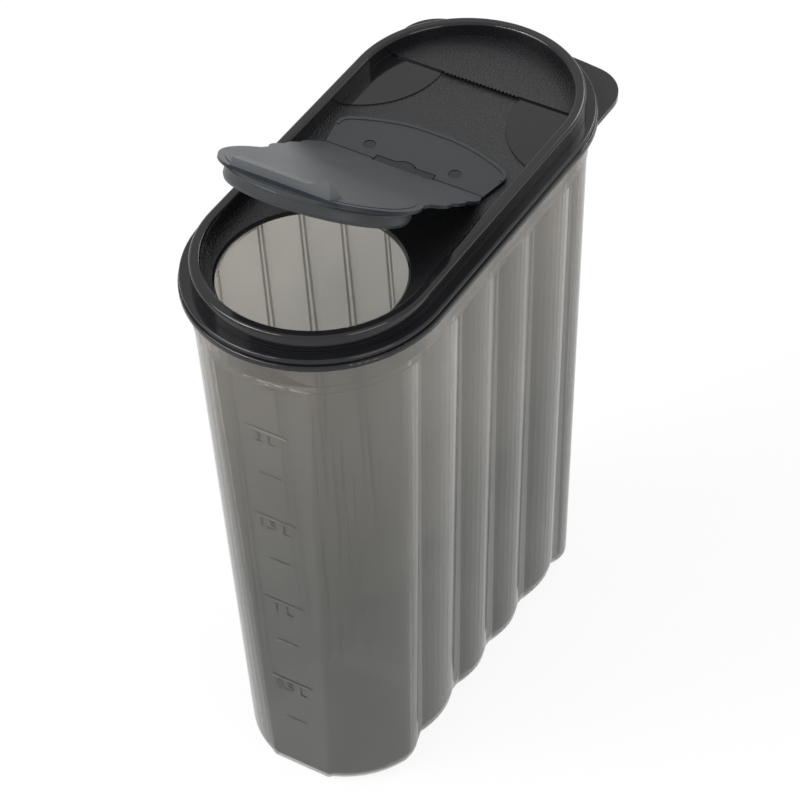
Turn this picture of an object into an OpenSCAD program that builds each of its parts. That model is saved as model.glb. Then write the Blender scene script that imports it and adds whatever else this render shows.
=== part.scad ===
// Cereal container with a lift-off lid and a flip spout.
// Millimetres, +Z up. The origin is the centre of the base, on the surface that it stands on.
// The pour end points along -Y and the grab tab along +Y.

/* [Container] */
// Distance between the centres of the two rounded ends
end_spacing = 96.7; // [60:0.1:130]
// Radius of the rounded ends at the base, before the base edge is rounded
base_r = 36; // [30:0.5:44]
// Height of the underside of the smooth band
ledge_z = 207; // [120:1:260]
// Height of the band, from its underside to the shoulder
band_h = 15.2; // [10:0.1:24]
// How far the band stands out past the flutes
band_step = 0.45; // [0.2:0.05:1.5]
// Height of the neck above the shoulder
neck_h = 6.8; // [5:0.1:9]
// How far the neck is set in from the band
neck_set_in = 2.85; // [2.4:0.05:3.4]
// Thickness of the neck
neck_wall = 1.3; // [1:0.1:1.8]
// Thickness of the container's walls and floor
wall = 2; // [1.2:0.1:2.4]
// Draft of the sides and ends, in degrees from upright
side_draft = 2; // [0.5:0.1:3]
// Rounding under the sides
side_round = 12; // [6:0.5:16]
// Rounding under the ends
end_round = 4.5; // [3:0.5:5.5]
// Rounding under the corner beside the last valley
turn_round = 7; // [5:0.5:9]

/* [Flutes] */
// Depth of the flutes' valleys
flute_depth = 2.3; // [1:0.1:3.5]
// Width of the flat strip along each valley, at the ledge
flute_strip = 1.5; // [0.8:0.1:3]
// Distance from the middle valley to the next one
inner_valley_y = 25; // [18:0.5:28]
// Distance from the middle valley to the last one
outer_valley_y = 52.5; // [44:0.5:56]
// Direction where the rounded end turns into the last valley, in degrees from across
end_turn = 22; // [16:1:28]
// Radius of the corner of the last valley, at the base
end_turn_r = 12; // [8:0.5:16]

/* [Panels] */
// Distance from the centre to the flat end panel, at the base
panel_y = 82.2; // [78:0.1:83.5]
// Draft of the panels, in degrees from upright
panel_draft = 1.3; // [0.5:0.1:2]
// Rounding under the panels
panel_round = 2.6; // [2.2:0.1:4]
// Radius of the upright corners beside the panels
corner_r = 6; // [5.5:0.5:12]

/* [Volume marks] */
// Height of the lowest mark
mark_z = 28.5; // [20:0.5:40]
// Distance between the marks, which is a quarter of a litre
mark_pitch = 21.6; // [12:0.1:22]
// Number of marks
mark_count = 9; // [1:1:9]
// Length of the marks at the full and half litres
mark_long = 17; // [10:0.5:18]
// Length of the marks between them
mark_short = 8.5; // [5:0.5:10]
// Width of each mark's line
mark_line = 0.9; // [0.5:0.1:1.5]
// How far the marks stand out
mark_relief = 0.35; // [0.2:0.05:0.6]

/* [Lid] */
// Height of the lid's rim above the container's shoulder
rim_h = 8.8; // [8.5:0.1:10]
// Thickness of the rim's inner wall
rim_inner_wall = 1.1; // [0.9:0.1:1.4]
// Thickness of the rim's outer wall
rim_outer_wall = 1.1; // [0.9:0.1:1.4]
// Gap between the neck and the groove in the rim that takes it
neck_clearance = 0.3; // [0.2:0.05:0.4]
// Rounding of the rim's top edges
rim_round = 1.2; // [0.8:0.1:1.6]
// Thickness of the flange that rests on the shoulder
flange_t = 2; // [1.6:0.1:2.4]
// How far the flange stands out past the rim
flange_out = 3.8; // [3.2:0.1:5]
// How far the skirt's lower lip stands out past the flange
skirt_out = 0.5; // [0.3:0.1:1]
// How far the skirt reaches below the shoulder
skirt_drop = 2.3; // [1.8:0.1:5]
// Gap between the band and the skirt
skirt_clearance = 0.8; // [0.4:0.1:1]
// Depth of the groove round the skirt
skirt_groove = 0.5; // [0.3:0.1:0.8]
// Depth of the lid's well, from the top of the rim
well_depth = 6.6; // [6:0.1:7]
// Thickness of the floor of the well
floor_t = 1.5; // [1.2:0.1:1.6]

/* [Rear floor] */
// Distance from the centre to the crease across the floor
crease_y = 60.6; // [50:0.2:70]
// Step up from the floor to the rear part
rear_step = 1.1; // [0.6:0.1:1.4]
// Number of small teeth along the crease
tooth_count = 20; // [8:1:24]
// Distance between the teeth
tooth_pitch = 1.5; // [1:0.1:2]
// How far the teeth stand out from the step
tooth_depth = 0.8; // [0.4:0.1:1.2]
// Radius of the round-edged pads beside the crease
pad_r = 31; // [26:0.5:34]
// Distance from the middle to the centre of each pad's edge
pad_x = 47; // [44:0.5:50]
// Distance from the pads' centres to the crease
pad_back = 2.6; // [0:0.1:6]
// Height of the pads
pad_h = 0.4; // [0.2:0.1:0.6]

/* [Grab tab] */
// Half the width of the tab
tab_half_w = 43.6; // [36:0.1:45]
// Radius of the tab's rear edge
tab_arc_r = 220; // [120:5:400]
// Radius of the tab's corners
tab_corner_r = 15.5; // [8:0.5:20]
// Thickness of the tab
tab_t = 2; // [1.4:0.1:2.4]
// Height of the tab's top above the bottom of the skirt
tab_rise = 1.4; // [1:0.1:2]
// How far the tab's edge stops short of the skirt's furthest point
tab_inset = 0.5; // [0.3:0.1:2]

/* [Spout] */
// Radius of the pour opening
spout_r = 32.2; // [26:0.1:33]
// Width of the bevel round its upper edge
spout_bevel = 0.8; // [0.4:0.1:1]
// Distance from the opening's edge to the front wall of the well
spout_margin = 2.1; // [1.9:0.1:4]
// Distance from the opening's centre to the hinge
hinge_to_spout = 59.35; // [52:0.05:66]

/* [Flap] */
// How far the flap stands open, in degrees from closed
flap_open = 32.9; // [0:0.1:120]
// Height of the flap's top above the floor of the well, when it is closed
flap_top = 1.45; // [1.3:0.05:1.8]
// Gap between the closed flap and the floor
flap_gap = 0.3; // [0.25:0.05:0.4]
// Gap between the flap's edge and the wall of the well
flap_edge_gap = 0.6; // [0.4:0.05:1]
// Radius of the flap's round part
flap_r = 34.6; // [34:0.1:37.4]
// Half the width of the flap beside the hinge
flap_half_w = 31.5; // [28:0.1:32.5]
// Length of the straight front edge
flap_front_w = 39; // [30:0.5:44]
// Radius of the waves along the flap's sides
wave_r = 14; // [10:0.5:18]
// Distance from the hinge to the first wave
wave_start = 10; // [8:0.5:12]
// Distance between the waves
wave_pitch = 11; // [9:0.5:12]
// Half the width of the flap across the waves
wave_half_w = 34; // [33:0.1:35]
// Height of the raised disc on the flap
disc_h = 0.25; // [0.15:0.05:0.5]
// Height of the long low part of the finger lip
lip_h = 2.9; // [2:0.1:4]
// Height of the ear at the lip's right end
lip_ear_h = 6.3; // [4:0.1:7]
// Length of the curve that rises from the low part to the ear
lip_ear_curve = 8; // [5:0.5:12]
// How far the ear's outer edge leans in over its height
lip_ear_lean = 1.6; // [0:0.1:3]
// Depth of the finger lip, front to back, at its top
lip_top_t = 1.2; // [0.8:0.1:2]
// Length of the ramp behind the finger lip
lip_ramp = 9; // [4:0.5:14]
// Width of the bevel at the ear's tip
lip_bevel = 0.8; // [0.4:0.1:1.5]
// Distance from the ends of the finger lip to the ends of the front edge
lip_inset = 0.7; // [0.3:0.1:3]

/* [Plug ring] */
// Gap between the ring's bead and the pour opening
plug_clearance = 0.3; // [0.2:0.05:0.5]
// How far the bead stands out past the ring
plug_bead = 0.3; // [0.2:0.05:0.6]
// Bevel round the ring's lower edge
plug_tip = 0.6; // [0.3:0.1:1]
// Radius of the bead's cross-section
plug_bead_r = 0.7; // [0.5:0.05:1]
// Thickness of the plate that closes the ring
plug_cap_t = 1.1; // [0.8:0.1:1.6]
// Thickness of the ring
plug_wall = 1.3; // [1:0.1:2]
// Depth of the ring below the flap's top
plug_h = 6.95; // [5:0.05:8]
// Depth of the bead below the flap's top
plug_bead_z = 2.7; // [2:0.1:4]

/* [Flap base] */
// Half the width of the base at its rear corners
base_half_w = 33.5; // [30:0.1:35]
// Distance from the hinge to the rear edge
base_len = 22.6; // [16:0.1:28]
// Radius of the rear edge
base_arc_r = 72; // [40:1:120]
// Radius of the rear corners
base_corner_r = 5; // [3:0.1:8]
// Width of the raised line along the rear edge
base_line_w = 1.3; // [0.8:0.1:2]
// Height of the raised line
base_line_h = 0.3; // [0.2:0.05:0.5]
// Distance from the middle to each retaining post
post_x = 17; // [14:0.5:22]
// Distance from the hinge to the posts
post_back = 6; // [5:0.5:9]
// Radius of the posts
post_r = 2.2; // [1.5:0.1:3]
// How far the posts stop below the top of the base
post_recess = 0.2; // [0.1:0.05:0.4]
// Gap round the posts
post_clearance = 0.1; // [0.05:0.05:0.2]

/* [Hinge] */
// Distance from the hinge axis to the edge of each plate
hinge_gap = 0.6; // [0.4:0.05:0.8]
// Thickness of the film that joins the plates
film_t = 0.4; // [0.3:0.05:0.5]
// Half the length of the gap in the film that takes the snap spring
snap_half_w = 11.5; // [8:0.1:14]
// Reach of the snap spring on each side of the hinge
snap_reach = 2; // [1.5:0.1:3]
// Reach of the round tongue in the middle of the spring
snap_tongue = 3.6; // [2.5:0.1:5]
// Radius of the tongue
snap_tongue_r = 5; // [4:0.1:7]
// Gap round the spring
snap_gap = 0.35; // [0.3:0.05:0.5]

/* [Hidden] */
$fn = 96;
eps = 0.01;

end_y = end_spacing / 2;
side_slope = tan(side_draft);
panel_slope = tan(panel_draft);
shoulder_z = ledge_z + band_h;
neck_top_z = shoulder_z + neck_h;
ledge_r = base_r + ledge_z * side_slope;
band_r = ledge_r + band_step;
shoulder_r = band_r + band_h * side_slope;
neck_outer_r = shoulder_r - neck_set_in;
neck_inner_r = neck_outer_r - neck_wall;
shoulder_bevel = 0.8;
neck_bevel = 0.3;

// Each lobe is an arc as deep as a flute at the ledge, less half of the flat strip at each side.
function lobe_r(half_pitch) =
    let (half_lobe = half_pitch - flute_strip / 2)
    (half_lobe * half_lobe + flute_depth * flute_depth) / (2 * flute_depth);
inner_lobe_y = inner_valley_y / 2;
outer_lobe_y = (inner_valley_y + outer_valley_y) / 2;
outer_lobe_half = (outer_valley_y - inner_valley_y) / 2;
inner_lobe_x = ledge_r - lobe_r(inner_lobe_y);
outer_lobe_x = ledge_r - lobe_r(outer_lobe_half);
turn_reach = base_r - end_turn_r;
// Steps along each stretch of the container's outline
lobe_steps = 8;
turn_steps = 5;
end_steps = 7;
corner_steps = 4;
panel_steps = 3;
foot_steps = 5;
min_foot_round = 0.5;
// Steps along the curve of the finger lip
lip_steps = 6;

rim_top_z = shoulder_z + rim_h;
rim_outer_r = neck_outer_r + neck_clearance + rim_outer_wall;
well_r = neck_inner_r - neck_clearance - rim_inner_wall;
groove_top_z = neck_top_z + neck_clearance;
flange_r = rim_outer_r + flange_out;
skirt_r = flange_r + skirt_out;
skirt_inner_r = shoulder_r + skirt_clearance;
skirt_z = shoulder_z - skirt_drop;
skirt_groove_h = 0.8;
skirt_round = 0.7;
floor_z = rim_top_z - well_depth;
floor_edge_r = well_r + rim_inner_wall / 2;
tab_z = skirt_z + tab_rise - tab_t;
tab_end_y = end_y + skirt_r - tab_inset;
tab_root_y = end_y;

spout_y = -(end_y + well_r - spout_margin - spout_r);
hinge_y = spout_y + hinge_to_spout;
hinge_z = floor_z + flap_top;
flap_t = flap_top - flap_gap;
flap_well_r = well_r - flap_edge_gap;
flap_front = hinge_y + end_y + sqrt(pow(flap_well_r, 2) - pow(flap_front_w / 2, 2));
plug_r = spout_r - plug_clearance - plug_bead;
tooth_row = tooth_count * tooth_pitch;

// A stadium-shaped ring or solid: the outline drawn by the children, radius along X and height
// along Y, is swept round the two ends and along the two sides.
module stadium_sweep() {
    for (side = [0, 180])
        rotate([0, 0, side]) {
            translate([0, end_y, 0]) rotate_extrude(angle = 180) children();
            translate([0, end_y, 0]) rotate([90, 0, 0]) linear_extrude(end_spacing) children();
        }
}

// The wall of the container in plan, one quarter of it, is a chain of points that keep their order
// from the base to the neck. Each point has a place t from 0 to 1 along its own stretch.
// Here z is the height, and e is how far the outline is moved in.
function side_x(z, e) = base_r + z * side_slope - e;
function lobe_point(x, y, t, z, e) =
    let (r = side_x(z, e) - x, reach = acos(1 - flute_depth / r), a = (2 * t - 1) * reach)
    [x + r * cos(a), y + r * sin(a)];
function turn_point(t, z, e) =
    let (
        c = [turn_reach * cos(end_turn), end_y + turn_reach * sin(end_turn)],
        r = side_x(z, e) - turn_reach,
        from = -acos((side_x(z, e) - flute_depth - c.x) / r),
        a = from + t * (end_turn - from)
    )
    c + r * [cos(a), sin(a)];

// The corner arc touches the rounded end and the flat panel from inside.
function corner_centre(z) =
    let (y = panel_y + z * panel_slope - corner_r - end_y)
    [sqrt(pow(side_x(z, corner_r), 2) - y * y), y];
function end_point(t, z, e) =
    let (c = corner_centre(z), a = end_turn + t * (atan2(c.y, c.x) - end_turn))
    [0, end_y] + side_x(z, e) * [cos(a), sin(a)];
function corner_point(t, z, e) =
    let (c = corner_centre(z), from = atan2(c.y, c.x), a = from + t * (90 - from))
    [0, end_y] + c + (corner_r - e) * [cos(a), sin(a)];
function panel_point(t, z, e) = [corner_centre(z).x * (1 - t), panel_y + z * panel_slope - e];

// Each entry is a stretch, a place along it and the rounding of the foot there.
function blend(from, to, t) = from + (to - from) * t;
chain = [
    for (t = [0 : 1 / lobe_steps : 1]) [0, t, side_round],
    for (t = [0 : 1 / lobe_steps : 1]) [1, t, side_round],
    for (i = [0 : turn_steps - 1]) [2, i / turn_steps, blend(turn_round, end_round, i / turn_steps)],
    for (i = [0 : end_steps]) [3, i / end_steps, end_round],
    for (i = [1 : corner_steps]) [4, i / corner_steps, blend(end_round, panel_round, i / corner_steps)],
    for (i = [1 : panel_steps]) [5, i / (panel_steps + 0.5), panel_round]
];
function chain_point(p, z, e) =
    p[0] == 0 ? lobe_point(inner_lobe_x, inner_lobe_y, p[1], z, e) :
    p[0] == 1 ? lobe_point(outer_lobe_x, outer_lobe_y, p[1], z, e) :
    p[0] == 2 ? turn_point(p[1], z, e) :
    p[0] == 3 ? end_point(p[1], z, e) :
    p[0] == 4 ? corner_point(p[1], z, e) :
    panel_point(p[1], z, e);

// Rings of one quarter: in the rounded foot, up the wall, and round the smooth band and neck.
function foot_ring(inset, a) = [
    for (p = chain)
        let (
            r = max(p[2] - inset, min_foot_round),
            z = inset + r * (1 - cos(a)),
            q = chain_point(p, z, inset + r * (1 - sin(a)))
        )
        [q.x, q.y, z]
];
function wall_ring(inset, z) = [for (p = chain) let (q = chain_point(p, z, inset)) [q.x, q.y, z]];
function smooth_ring(r, z) = [
    for (p = chain)
        let (q = chain_point(p, ledge_z, 0), v = q - [0, end_y])
        q.y < end_y ? [r, q.y, z] : [r * v.x / norm(v), end_y + r * v.y / norm(v), z]
];

// A whole ring from one quarter, anticlockwise seen from above.
function reversed(list) = [for (i = [len(list) - 1 : -1 : 0]) list[i]];
function whole_ring(quarter) = [
    each quarter,
    each reversed([for (q = quarter) [-q.x, q.y, q.z]]),
    each [for (q = quarter) [-q.x, -q.y, q.z]],
    each reversed([for (q = quarter) [q.x, -q.y, q.z]])
];

// The container's skin goes up the outside, over the neck and down the inside.
module container_shell() {
    foot = [0 : 90 / foot_steps : 90];
    quarters = [
        each [for (a = foot) foot_ring(0, a)],
        wall_ring(0, ledge_z),
        smooth_ring(band_r, ledge_z),
        smooth_ring(shoulder_r, shoulder_z - shoulder_bevel),
        smooth_ring(shoulder_r - shoulder_bevel, shoulder_z),
        smooth_ring(neck_outer_r, shoulder_z),
        smooth_ring(neck_outer_r, neck_top_z - neck_bevel),
        smooth_ring(neck_outer_r - neck_bevel, neck_top_z),
        smooth_ring(neck_inner_r, neck_top_z),
        smooth_ring(neck_inner_r, shoulder_z - wall),
        smooth_ring(shoulder_r - wall, shoulder_z - wall),
        smooth_ring(band_r - wall, ledge_z + wall),
        wall_ring(wall, ledge_z + wall),
        each reversed([for (a = foot) foot_ring(wall, a)])
    ];
    rings = [for (q = quarters) whole_ring(q)];
    n = len(rings[0]);
    polyhedron(
        points = [for (ring = rings) each ring],
        faces = [
            [for (i = [0 : n - 1]) i],
            for (k = [0 : len(rings) - 2], i = [0 : n - 1])
                let (a = k * n + i, b = k * n + (i + 1) % n) each [[a, a + n, b + n], [a, b + n, b]],
            [for (i = [n - 1 : -1 : 0]) (len(rings) - 1) * n + i]
        ]
    );
}

// Raised lines on the front panel, a long one at each full and half litre.
module volume_marks() {
    for (i = [0 : mark_count - 1]) {
        z = mark_z + i * mark_pitch;
        length = i % 2 == 1 ? mark_long : mark_short;
        translate([0, -(panel_y + z * panel_slope), z])
            rotate([panel_draft, 0, 0])
            cube([length, 2 * mark_relief, mark_line], center = true);
    }
}

module container() {
    color("#77736f", 0.55) {
        container_shell();
        volume_marks();
    }
}

// The rim folds over the neck, and the flange and skirt go on outside it.
module rim_outline() {
    top = rim_top_z - rim_round;
    width = rim_outer_r - well_r;
    difference() {
        union() {
            translate([well_r, floor_z - floor_t]) square([width, top - floor_z + floor_t]);
            translate([well_r + rim_round, floor_z])
                square([width - 2 * rim_round, rim_top_z - floor_z]);
            for (x = [well_r + rim_round, rim_outer_r - rim_round])
                translate([x, top]) circle(r = rim_round);
            translate([rim_outer_r - rim_outer_wall, shoulder_z]) square([rim_outer_wall, 2 * flange_t]);
        }
        translate([neck_inner_r - neck_clearance, shoulder_z - flange_t])
            square([neck_wall + 2 * neck_clearance, groove_top_z - shoulder_z + flange_t]);
    }
    translate([rim_outer_r - rim_outer_wall, shoulder_z])
        square([flange_r - skirt_round - rim_outer_r + rim_outer_wall, flange_t]);
    translate([skirt_inner_r, shoulder_z])
        square([flange_r - skirt_inner_r - skirt_groove, flange_t - skirt_round]);
    translate([flange_r - skirt_round, shoulder_z + flange_t - skirt_round]) circle(r = skirt_round);
    translate([skirt_inner_r, skirt_z])
        square([flange_r - skirt_groove - skirt_inner_r, skirt_drop + eps]);
    translate([skirt_inner_r, skirt_z])
        square([skirt_r - skirt_inner_r, skirt_drop - skirt_groove_h / 2 - skirt_round]);
    translate([skirt_inner_r, skirt_z])
        square([skirt_r - skirt_inner_r - skirt_round, skirt_drop - skirt_groove_h / 2]);
    translate([skirt_r - skirt_round, shoulder_z - skirt_groove_h / 2 - skirt_round]) circle(r = skirt_round);
}

// A plate with a curved far edge and round corners, from root_y to far_y.
module arched_plate(root_half_w, half_w, root_y, far_y, arc_r, corner_r) {
    arc_y = far_y - arc_r;
    corner_x = half_w - corner_r;
    corner_y = arc_y + sqrt(pow(arc_r - corner_r, 2) - pow(corner_x, 2));
    beyond = arc_r / (arc_r - corner_r) * 1.1;
    polygon([
        [-root_half_w, root_y],
        [root_half_w, root_y],
        [half_w, corner_y],
        [-half_w, corner_y]
    ]);
    for (side = [-1, 1]) translate([side * corner_x, corner_y]) circle(r = corner_r);
    intersection() {
        translate([0, arc_y]) circle(r = arc_r);
        polygon([
            [-corner_x, corner_y],
            [corner_x, corner_y],
            [corner_x * beyond, arc_y + (corner_y - arc_y) * beyond],
            [-corner_x * beyond, arc_y + (corner_y - arc_y) * beyond]
        ]);
    }
}

module lid() {
    color("#26272a") {
        stadium_sweep() rim_outline();
        difference() {
            union() {
                well_floor();
                retaining_posts();
            }
            spout_opening();
        }
        grab_tab();
    }
}

// The floor of the well, with its raised rear part, the pads and the teeth along the crease.
module well_floor() {
    translate([0, 0, floor_z - floor_t]) linear_extrude(floor_t) difference() {
        well_outline();
        translate([-skirt_r, crease_y + floor_t]) square([2 * skirt_r, tab_end_y]);
    }
    translate([0, 0, floor_z - floor_t + rear_step]) linear_extrude(floor_t) intersection() {
        well_outline();
        translate([-skirt_r, crease_y]) square([2 * skirt_r, tab_end_y]);
    }
    translate([0, 0, floor_z - eps]) linear_extrude(pad_h + eps) intersection() {
        well_outline();
        for (side = [-1, 1]) translate([side * pad_x, crease_y - pad_back]) circle(r = pad_r);
        translate([-skirt_r, 0]) square([2 * skirt_r, crease_y + floor_t / 2]);
    }
    translate([0, 0, floor_z - eps]) linear_extrude(rear_step + eps) polygon([
        [-tooth_row / 2, crease_y + eps],
        for (i = [0 : tooth_count - 1]) each [
            [-tooth_row / 2 + (i + 0.5) * tooth_pitch, crease_y - tooth_depth],
            [-tooth_row / 2 + (i + 1) * tooth_pitch, crease_y + eps]
        ],
        [tooth_row / 2, crease_y + floor_t],
        [-tooth_row / 2, crease_y + floor_t]
    ]);
}

module well_outline() {
    for (end = [-1, 1]) translate([0, end * end_y]) circle(r = floor_edge_r);
    square([2 * floor_edge_r, end_spacing], center = true);
}

module retaining_posts() {
    for (side = [-1, 1]) translate([side * post_x, hinge_y + post_back, floor_z - eps])
        cylinder(r = post_r, h = flap_top - post_recess + eps);
}

module spout_opening() {
    translate([0, spout_y, floor_z - floor_t - 1]) cylinder(r = spout_r, h = floor_t + 2);
    translate([0, spout_y, floor_z - spout_bevel])
        cylinder(r1 = spout_r, r2 = spout_r + 2 * spout_bevel, h = 2 * spout_bevel);
}

module grab_tab() {
    translate([0, 0, tab_z]) linear_extrude(tab_t) difference() {
        arched_plate(tab_half_w, tab_half_w, tab_root_y, tab_end_y, tab_arc_r, tab_corner_r);
        translate([0, end_y]) circle(r = (skirt_inner_r + skirt_r) / 2);
    }
}

// The fixed part of the flap, pressed over the lid's posts.
module flap_base() {
    color("#3f4650", 0.85) {
        translate([0, hinge_y, floor_z]) {
            linear_extrude(flap_top) difference() {
                arched_plate(flap_half_w, base_half_w, hinge_gap, base_len, base_arc_r, base_corner_r);
                snap_outline(snap_gap);
                for (side = [-1, 1])
                    translate([side * post_x, post_back]) circle(r = post_r + post_clearance);
            }
            translate([0, 0, flap_top - eps]) linear_extrude(base_line_h + eps) difference() {
                arched_plate(flap_half_w, base_half_w, hinge_gap, base_len, base_arc_r, base_corner_r);
                arched_plate(
                    flap_half_w, base_half_w - base_line_w, 0, base_len - base_line_w,
                    base_arc_r - base_line_w, base_corner_r - base_line_w
                );
                translate([-base_half_w, -1]) square([2 * base_half_w, base_len / 2]);
            }
        }
    }
}

// The snap spring seen from above, grown by extra: a bow tie across the hinge with a round tongue.
module snap_outline(extra) {
    translate([-snap_half_w - extra, -snap_reach - extra])
        square([2 * (snap_half_w + extra), 2 * (snap_reach + extra)]);
    intersection() {
        translate([0, snap_tongue - snap_tongue_r]) circle(r = snap_tongue_r + extra);
        translate([-snap_half_w, 0]) square([2 * snap_half_w, snap_half_w]);
    }
}

module snap_spring() {
    color("#39414b", 0.85)
        translate([0, hinge_y, hinge_z - flap_t]) linear_extrude(flap_t) snap_outline(0);
}

// The film bends at the hinge axis: one half lies flat and the other follows the flap.
module hinge_film(side) {
    length = flap_half_w - snap_half_w - snap_gap;
    down = film_t * [-sin(flap_open), -cos(flap_open)];
    out = hinge_gap * [-cos(flap_open), sin(flap_open)];
    color("#333a44", 0.85)
        translate([side * (flap_half_w - length / 2), hinge_y, hinge_z])
        rotate([90, 0, 90]) linear_extrude(length, center = true) polygon([
            [0, 0],
            [hinge_gap, 0],
            [hinge_gap, -film_t],
            [0, -film_t],
            film_t * [-sin(flap_open / 2), -cos(flap_open / 2)],
            down,
            out + down,
            out
        ]);
}

// The flap seen from above when closed, with the hinge along X and the tip along -Y.
module flap_outline() {
    intersection() {
        union() {
            translate([0, -hinge_to_spout]) circle(r = flap_r);
            translate([-flap_half_w, -hinge_to_spout]) square([2 * flap_half_w, hinge_to_spout - hinge_gap]);
            for (side = [-1, 1], i = [0 : 2])
                translate([side * (wave_half_w - wave_r), -(wave_start + i * wave_pitch)]) intersection() {
                    circle(r = wave_r);
                    translate([-wave_r, -2 * wave_r])
                        square([2 * wave_r, 2 * wave_r + wave_start - 2 * hinge_gap]);
                }
        }
        union() {
            translate([0, -hinge_y - end_y]) circle(r = flap_well_r);
            translate([-flap_well_r, -hinge_y - end_y]) square([2 * flap_well_r, end_spacing]);
        }
        translate([-flap_well_r, -flap_front]) square([2 * flap_well_r, flap_front + hinge_gap]);
    }
}

// The plug: a ring closed at the top, with a bead round it that seals in the pour opening.
module plug_ring() {
    rotate_extrude() polygon([
        [0, -flap_t + eps],
        [plug_r, -flap_t + eps],
        [plug_r, -plug_h + 2 * plug_tip],
        [plug_r - plug_tip, -plug_h],
        [plug_r - plug_wall, -plug_h],
        [plug_r - plug_wall, -flap_t - plug_cap_t],
        [0, -flap_t - plug_cap_t]
    ]);
    rotate_extrude()
        translate([plug_r + plug_bead - plug_bead_r, -plug_bead_z]) circle(r = plug_bead_r);
}

// The finger lip: a ramp that ends in an upright face along the flap's front edge. The face is low
// for most of its length and rises to an ear at its right end.
module finger_lip() {
    half = flap_front_w / 2 - lip_inset;
    ear_x = half - lip_ear_lean;
    curve_x = ear_x - lip_bevel - lip_ear_curve;
    intersection() {
        rotate([90, 0, 90]) linear_extrude(2 * flap_front_w, center = true) polygon([
            [-flap_front, -flap_t / 2],
            [-flap_front, lip_ear_h],
            [-flap_front + lip_top_t, lip_ear_h],
            [-flap_front + lip_top_t + lip_ramp, -flap_t / 2]
        ]);
        rotate([90, 0, 0]) linear_extrude(2 * flap_front) polygon([
            [-half, -flap_t],
            [half, -flap_t],
            [ear_x, lip_ear_h - lip_bevel],
            for (i = [lip_steps : -1 : 0])
                [curve_x + lip_ear_curve * i / lip_steps,
                 blend(lip_h, lip_ear_h, 1 - cos(90 * i / lip_steps)) - eps],
            [-half, lip_h - eps]
        ]);
    }
}

module flap_door() {
    color("#4b535d", 0.8) translate([0, hinge_y, hinge_z]) rotate([-flap_open, 0, 0]) {
        translate([0, 0, -flap_t]) linear_extrude(flap_t) difference() {
            flap_outline();
            square([2 * (snap_half_w + snap_gap), 2 * (snap_reach + snap_gap)], center = true);
        }
        translate([0, 0, -eps]) linear_extrude(disc_h + eps) intersection() {
            flap_outline();
            translate([0, -hinge_to_spout]) circle(r = spout_r);
        }
        translate([0, -hinge_to_spout, 0]) plug_ring();
        finger_lip();
    }
}

module hinge_film_left() { hinge_film(-1); }

module hinge_film_right() { hinge_film(1); }

container();
lid();
flap_base();
flap_door();
hinge_film_left();
hinge_film_right();
snap_spring();
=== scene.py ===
import math

import bpy
from mathutils import Matrix, Vector


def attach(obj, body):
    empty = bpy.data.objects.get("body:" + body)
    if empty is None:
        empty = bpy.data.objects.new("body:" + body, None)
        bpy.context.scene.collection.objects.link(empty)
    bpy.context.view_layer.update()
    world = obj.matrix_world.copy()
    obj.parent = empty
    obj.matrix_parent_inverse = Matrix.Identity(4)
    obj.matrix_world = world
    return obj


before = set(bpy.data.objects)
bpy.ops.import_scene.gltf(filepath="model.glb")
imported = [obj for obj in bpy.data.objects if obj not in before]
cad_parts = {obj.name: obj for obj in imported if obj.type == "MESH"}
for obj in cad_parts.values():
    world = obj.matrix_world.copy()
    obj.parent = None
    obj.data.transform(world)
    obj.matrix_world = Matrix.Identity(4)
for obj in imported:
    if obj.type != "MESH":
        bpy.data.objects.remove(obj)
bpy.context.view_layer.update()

MM = 0.001

# Places in the CAD model, in metres, and how far the flap is open at rest.
HINGE_Y, HINGE_Z, FLAP_OPEN = 0.0066406, 0.22585, math.radians(32.9)
WELL_FLOOR_Z, REAR_FLOOR_Z = 0.2244, 0.2255
# The heights over which the body's painted shade goes from dark at the bottom to light at the
# top.
BODY_LOW_Z, BODY_HIGH_Z = 0.02, 0.21
# The front panel: its distance from the middle at the base, and its draft.
PANEL_Y, PANEL_DRAFT = 0.0822, math.radians(1.3)
# The lowest volume mark, and the distance from one mark to the next.
MARK_Z, MARK_PITCH = 0.0285, 0.0216

# Numerals, each with the number of its mark, counted from 0 at the lowest.
NUMERALS = ((1, "0.5 L"), (3, "1 L"), (5, "1.5 L"), (7, "2 L"))
NUMERAL_SIZE, NUMERAL_RELIEF, NUMERAL_BOLD, WORD_GAP = 0.0062, 0.0002, 0.00004, 1.3
# A numeral's centre: how far below its mark, and its X.
NUMERAL_DROP, NUMERAL_X = 0.0042, -0.0008

# Azimuth and elevation of the line of sight, and the roll about it, in degrees.
AZIMUTH, ELEVATION, ROLL = 32.765, 43.684, -2.728
# Distance to the target, and the target's height and place across the view, in mm.
DISTANCE, TARGET_Z, ACROSS, ALONG = 1133.75, 140.62, -1.225, -13.461
# Focal length and width of the photograph in pixels, and the sensor's width in mm.
FOCAL_PIXELS, FRAME_PIXELS, SENSOR = 3153.677, 800, 36
NEAR_CLIP, FAR_CLIP = 0.01, 20

# Each lamp's place and size in metres, and its power in watts.
LAMPS = {
    "key": ((-0.9, -0.7, 1.3), (0.8, 0.8), 14),
    "fill": ((1.3, -0.5, 0.7), (0.8, 0.8), 7),
    "back": ((0.3, 1.4, 1.1), (0.9, 0.6), 9),
    "glint": ((-0.45, -0.86, 1.32), (0.75, 0.07), 8),
}
LAMP_AIM = Vector((0, 0, 0.12))
WHITE = (1, 1, 1, 1)
# The world's strength for the rays that light the object; the others see plain white.
WORLD_LIGHT = 0.55
# Half the floor's size in metres, its colour, and how far plain white covers that.
FLOOR_REACH, FLOOR_COLOUR, FLOOR_WHITE = 3.0, (0.85, 0.85, 0.85, 1), 0.9

# A noise texture mostly lies between these two values.
NOISE_LOW, NOISE_HIGH = 0.3, 0.7
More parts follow.
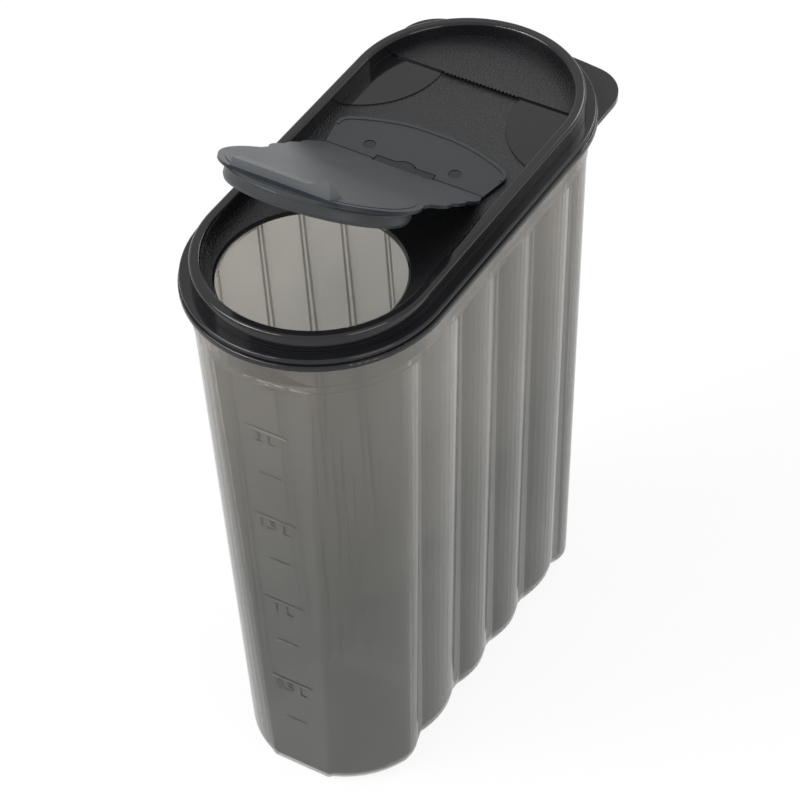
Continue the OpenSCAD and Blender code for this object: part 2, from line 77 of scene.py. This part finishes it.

# Smoky plastic, with painted shade: darker towards the bottom of the body, lighter towards the
# top. Colour ramps give each stop's place and its colour.
SMOKE_AND_SHADE = (
    (0.0, (0.290, 0.298, 0.283)), (0.46, (0.318, 0.321, 0.302)),
    (0.58, (0.385, 0.374, 0.348)), (1.0, (0.510, 0.482, 0.444)),
)
# How much of the ramp the painted shade by height and the clouds take up.
SMOKE_SHADE_BY_HEIGHT, SMOKE_CLOUDS = 0.8, 0.2
FLOW_STRETCH = (1, 1, 0.04)

# Black plastic, and the leather grain on the two floors of the well.
BLACK = ((0.3, (0.0065, 0.0068, 0.0078)), (0.7, (0.0090, 0.0093, 0.0104)))
GRAIN_BAND, GRAIN_EDGE, GRAIN_ROUGH, FINE_GRAIN = 0.00012, 0.35, 0.25, 0.06

# The flap's plastic, from the plug ring below its plate to the finger lip above it: painted shade
# darkens the ring and painted light brightens the lip.
FLAP_AND_SHADE = (
    (0.0, (0.082, 0.088, 0.092)), (0.35, (0.095, 0.101, 0.106)),
    (0.46, (0.140, 0.147, 0.155)), (0.56, (0.152, 0.160, 0.168)),
    (0.70, (0.175, 0.184, 0.193)), (1.0, (0.190, 0.200, 0.210)),
)
# How far from the hinge's level the ramp goes, and its share of painted light and shade by height
# and of clouds.
FLAP_REACH, FLAP_SHADE_BY_HEIGHT, FLAP_CLOUDS = 0.004, 0.92, 0.08
# The plate's cut edges, painted dark blue as shade: their colour, their level, half their
# thickness, and how steep they are.
EDGE_SHADE, EDGE_LEVEL, EDGE_BAND, EDGE_STEEP = (0.018, 0.030, 0.043, 1), -0.0006, 0.0007, 0.45


def make_camera():
    azimuth, elevation, roll = map(math.radians, (AZIMUTH, ELEVATION, ROLL))
    back = Vector((
        math.sin(azimuth) * math.cos(elevation),
        -math.cos(azimuth) * math.cos(elevation),
        math.sin(elevation),
    ))
    right = Vector((math.cos(azimuth), math.sin(azimuth), 0))
    up = back.cross(right)
    place = Vector((0, 0, TARGET_Z)) + right * ACROSS + up * ALONG + back * DISTANCE
    across = right * math.cos(roll) + up * math.sin(roll)
    above = up * math.cos(roll) - right * math.sin(roll)
    data = bpy.data.cameras.new("camera")
    data.sensor_width = SENSOR
    data.lens = FOCAL_PIXELS * SENSOR / FRAME_PIXELS
    data.clip_start, data.clip_end = NEAR_CLIP, FAR_CLIP
    camera = bpy.data.objects.new("camera", data)
    bpy.context.collection.objects.link(camera)
    turn = Matrix((across, above, back)).transposed().to_4x4()
    camera.matrix_world = Matrix.Translation(place * MM) @ turn
    bpy.context.scene.camera = camera


class Nodes:
    """A short way to write one node tree."""

    def __init__(self, tree):
        self.tree = tree
        tree.nodes.clear()

    def add(self, kind, inputs=None, **settings):
        node = self.tree.nodes.new(kind)
        for name, value in settings.items():
            setattr(node, name, value)
        for name, value in (inputs or {}).items():
            socket = node.inputs[name]
            if isinstance(value, bpy.types.NodeSocket):
                self.tree.links.new(value, socket)
            else:
                socket.default_value = value
        return node

    def ramp(self, fac, stops):
        node = self.add("ShaderNodeValToRGB", {"Fac": fac})
        points = node.color_ramp.elements
        while len(points) < len(stops):
            points.new(0.5)
        for point, (place, colour) in zip(points, stops):
            point.position = place
            point.color = (*colour, 1)
        return node.outputs["Color"]

    def spread(self, value, low, high, to_low, to_high):
        node = self.add("ShaderNodeMapRange", {
            "Value": value, "From Min": low, "From Max": high,
            "To Min": to_low, "To Max": to_high,
        })
        return node.outputs["Result"]

    def vary(self, noise, to_low, to_high):
        return self.spread(noise, NOISE_LOW, NOISE_HIGH, to_low, to_high)

    def maths(self, operation, a, b=0.0):
        return self.add("ShaderNodeMath", {0: a, 1: b}, operation=operation).outputs[0]

    def near(self, value, centre, reach):
        """1 where value is within reach of centre, else 0."""
        inputs = {0: value, 1: centre, 2: reach}
        return self.add("ShaderNodeMath", inputs, operation="COMPARE").outputs[0]

    def along(self, vector, axis):
        """How far vector goes along axis."""
        inputs = {0: vector, 1: axis}
        node = self.add("ShaderNodeVectorMath", inputs, operation="DOT_PRODUCT")
        return node.outputs["Value"]

    def height(self, place):
        return self.add("ShaderNodeSeparateXYZ", {"Vector": place}).outputs["Z"]

    def noise(self, place, scale, detail=3.0):
        return self.add("ShaderNodeTexNoise", {
            "Vector": place, "Scale": scale, "Detail": detail,
        }).outputs["Fac"]

    def bump(self, relief, strength, distance):
        return self.add("ShaderNodeBump", {
            "Strength": strength, "Distance": distance, "Height": relief,
        }).outputs["Normal"]

    def mix(self, share, first, second):
        """Shader second takes its share of shader first."""
        inputs = {"Fac": share, 1: first.outputs[0], 2: second.outputs[0]}
        return self.add("ShaderNodeMixShader", inputs)

    def backdrop_rays(self):
        """1 for rays from the camera, off gloss or through plastic, else 0."""
        path = self.add("ShaderNodeLightPath").outputs
        seen = self.maths("MAXIMUM", path["Is Camera Ray"], path["Is Glossy Ray"])
        return self.maths("MAXIMUM", seen, path["Is Transmission Ray"])

    def close(self, shader):
        self.add("ShaderNodeOutputMaterial", {"Surface": shader.outputs[0]})

    def close_translucent(self, colour, rough, normal, ior, gloss, clear, milky):
        """Ends a material as clear plastic with a share of milky plastic in it."""
        glass = self.add("ShaderNodeBsdfPrincipled", {
            "Base Color": colour, "Roughness": rough, "IOR": ior,
            "Transmission Weight": clear, "Specular IOR Level": gloss, "Normal": normal,
        })
        milk = self.add("ShaderNodeBsdfTranslucent", {"Color": colour, "Normal": normal})
        self.close(self.mix(milky, glass, milk))


def new_material(name):
    """Returns a material, its nodes, and the place on the object as a node output."""
    material = bpy.data.materials.new(name)
    material.use_nodes = True
    nodes = Nodes(material.node_tree)
    place = nodes.add("ShaderNodeTexCoord").outputs["Object"]
    return material, nodes, place


def smoky_plastic():
    """Smoky translucent plastic: part clear, part milky, with flow lines up the wall and painted
    shade that darkens it towards the bottom.
    """
    material, nodes, place = new_material("smoky_plastic")
    upright = nodes.add("ShaderNodeMapping", {"Vector": place, "Scale": FLOW_STRETCH})
    streaks = nodes.noise(upright.outputs["Vector"], scale=160.0)
    clouds = nodes.vary(nodes.noise(place, scale=18.0), 0.0, SMOKE_CLOUDS)
    # Painted shade: the lower the place, the darker the plastic.
    height = nodes.spread(nodes.height(place), BODY_LOW_Z, BODY_HIGH_Z, 0.0, SMOKE_SHADE_BY_HEIGHT)
    nodes.close_translucent(
        colour=nodes.ramp(nodes.maths("ADD", height, clouds), SMOKE_AND_SHADE),
        rough=nodes.vary(streaks, 0.03, 0.08),
        normal=nodes.bump(streaks, strength=0.08, distance=0.0003),
        ior=1.44, gloss=0.5, clear=0.92, milky=0.16,
    )
    return material


def black_plastic():
    """Glossy black plastic with a leather grain on the two floors of the well."""
    material, nodes, place = new_material("black_plastic")
    height = nodes.height(place)
    grained = nodes.maths("MAXIMUM", nodes.near(height, WELL_FLOOR_Z, GRAIN_BAND),
                          nodes.near(height, REAR_FLOOR_Z, GRAIN_BAND))
    cells = nodes.add("ShaderNodeTexVoronoi", {
        "Vector": place, "Scale": 950.0, "Randomness": 0.9,
    }, feature="DISTANCE_TO_EDGE").outputs["Distance"]
    leather = nodes.maths("MULTIPLY", grained, nodes.spread(cells, 0.0, GRAIN_EDGE, 0.0, 1.0))
    fine = nodes.maths("MULTIPLY", nodes.noise(place, scale=1400.0), FINE_GRAIN)
    clouds = nodes.noise(place, scale=30.0)
    rough = nodes.maths("ADD", nodes.vary(clouds, 0.09, 0.13),
                        nodes.maths("MULTIPLY", grained, GRAIN_ROUGH))
    relief = nodes.maths("ADD", leather, fine)
    nodes.close(nodes.add("ShaderNodeBsdfPrincipled", {
        "Base Color": nodes.ramp(clouds, BLACK), "Roughness": rough,
        "IOR": 1.5, "Specular IOR Level": 0.34,
        "Normal": nodes.bump(relief, strength=0.55, distance=0.00016),
    }))
    return material


def flap_plastic(name, tilt=0.0, clear=0.72, shade_tone=1.0):
    """Translucent blue-grey plastic with painted shade on its cut edges, which turn dark blue,
    painted shade on the plug ring below its plate and painted light on the lip above it; tilt is
    the plate's slope.
    """
    material, nodes, place = new_material(name)
    plate = (0.0, math.sin(tilt), math.cos(tilt))
    hinge_level = plate[1] * HINGE_Y + plate[2] * HINGE_Z
    above = nodes.maths("SUBTRACT", nodes.along(place, plate), hinge_level)
    facing = nodes.along(nodes.add("ShaderNodeTexCoord").outputs["Normal"], plate)
    steep = nodes.maths("LESS_THAN", nodes.maths("ABSOLUTE", facing), EDGE_STEEP)
    # Painted shade: the plate's steep cut edges, along its rim and in its gaps, turn dark blue.
    edge_shade_mask = nodes.maths("MULTIPLY", steep, nodes.near(above, EDGE_LEVEL, EDGE_BAND))
    clouds = nodes.noise(place, scale=35.0)
    # Painted light and shade: the higher above the hinge's level, the lighter, so the ring below
    # the plate is shaded and the lip above it lit.
    shade_zone = nodes.maths("ADD", nodes.spread(above, -FLAP_REACH, FLAP_REACH, 0.0, FLAP_SHADE_BY_HEIGHT),
                       nodes.vary(clouds, 0.0, FLAP_CLOUDS))
    painted_shades = [(stop, tuple(part * shade_tone for part in shade)) for stop, shade in FLAP_AND_SHADE]
    colour = nodes.add("ShaderNodeMix", {
        "Factor": edge_shade_mask, "A": nodes.ramp(shade_zone, painted_shades), "B": EDGE_SHADE,
    }, data_type="RGBA").outputs["Result"]
    nodes.close_translucent(
        colour=colour, rough=nodes.vary(clouds, 0.30, 0.36),
        normal=nodes.bump(nodes.noise(place, scale=700.0), strength=0.05, distance=0.0002),
        ior=1.45, gloss=0.25, clear=clear, milky=0.3,
    )
    return material


def make_world():
    scene = bpy.context.scene
    scene.view_settings.view_transform = "Standard"
    world = bpy.data.worlds.new("studio")
    scene.world = world
    world.use_nodes = True
    nodes = Nodes(world.node_tree)
    strength = nodes.spread(nodes.backdrop_rays(), 0, 1, WORLD_LIGHT, 1.0)
    glow = nodes.add("ShaderNodeBackground", {"Color": WHITE, "Strength": strength})
    nodes.add("ShaderNodeOutputWorld", {"Surface": glow.outputs[0]})


def make_floor():
    mesh = bpy.data.meshes.new("floor")
    corners = ((-1, -1), (1, -1), (1, 1), (-1, 1))
    points = [(x * FLOOR_REACH, y * FLOOR_REACH, 0) for x, y in corners]
    mesh.from_pydata(points, [], [(0, 1, 2, 3)])
    floor = bpy.data.objects.new("floor", mesh)
    bpy.context.collection.objects.link(floor)
    material, nodes, _ = new_material("floor")
    matt = nodes.add("ShaderNodeBsdfDiffuse", {"Color": FLOOR_COLOUR})
    white = nodes.add("ShaderNodeEmission", {"Color": WHITE, "Strength": 1.0})
    share = nodes.maths("MULTIPLY", nodes.backdrop_rays(), FLOOR_WHITE)
    nodes.close(nodes.mix(share, matt, white))
    mesh.materials.append(material)


def make_lamp(name, place, size, power):
    data = bpy.data.lights.new(name, "AREA")
    data.shape = "RECTANGLE"
    data.size, data.size_y = size
    data.energy = power
    lamp = bpy.data.objects.new(name, data)
    bpy.context.collection.objects.link(lamp)
    place = Vector(place)
    turn = (LAMP_AIM - place).to_track_quat("-Z", "Y").to_matrix().to_4x4()
    lamp.matrix_world = Matrix.Translation(place) @ turn


def make_numerals(finish):
    """Raised litre numerals under the long marks of the front panel."""
    across = Vector((1, 0, 0))
    up = Vector((0, -math.sin(PANEL_DRAFT), math.cos(PANEL_DRAFT)))
    turn = Matrix((across, up, across.cross(up))).transposed().to_4x4()
    for mark, words in NUMERALS:
        data = bpy.data.curves.new("numeral", "FONT")
        data.body = words
        data.size, data.extrude, data.offset = NUMERAL_SIZE, NUMERAL_RELIEF, NUMERAL_BOLD
        data.align_x, data.align_y = "CENTER", "CENTER"
        data.space_word = WORD_GAP
        outline = bpy.data.objects.new("outline", data)
        z = MARK_Z + mark * MARK_PITCH - NUMERAL_DROP
        place = Vector((NUMERAL_X, -(PANEL_Y + z * math.tan(PANEL_DRAFT)), z))
        # A mesh in the model's own coordinates takes the same colour and painted shade as the
        # wall it stands on.
        mesh = bpy.data.meshes.new_from_object(outline)
        mesh.transform(Matrix.Translation(place) @ turn)
        mesh.materials.clear()
        mesh.materials.append(finish)
        bpy.data.objects.remove(outline)
        name = "numeral_" + words.replace(" ", "").replace(".", "_")
        piece = bpy.data.objects.new(name, mesh)
        bpy.context.collection.objects.link(piece)
        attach(piece, "container")


make_camera()
make_world()
make_floor()
for lamp_name, (lamp_place, lamp_size, lamp_power) in LAMPS.items():
    make_lamp(lamp_name, lamp_place, lamp_size, lamp_power)

body_finish = smoky_plastic()
# Painted shadow: the hinge films are a darkened copy of the flap's plastic, standing in for the
# shadow line in the hinge's gap.
film_shadow_finish = flap_plastic("flap_plastic_film_painted_shadow", shade_tone=0.25)
finishes = {
    "container": body_finish,
    "lid": black_plastic(),
    "flap_base": flap_plastic("flap_plastic_flat"),
    "flap_door": flap_plastic("flap_plastic_open", tilt=FLAP_OPEN, clear=0.5),
    "hinge_film_left": film_shadow_finish,
    "hinge_film_right": film_shadow_finish,
    # Painted shade: the snap spring is a darkened copy of the flap's plastic, standing in for the
    # dark lines of the slots around it.
    "snap_spring": flap_plastic("flap_plastic_spring_painted_shade", shade_tone=0.45),
}
for node, finish in finishes.items():
    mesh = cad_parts[node].data
    mesh.materials.clear()
    mesh.materials.append(finish)
make_numerals(body_finish)
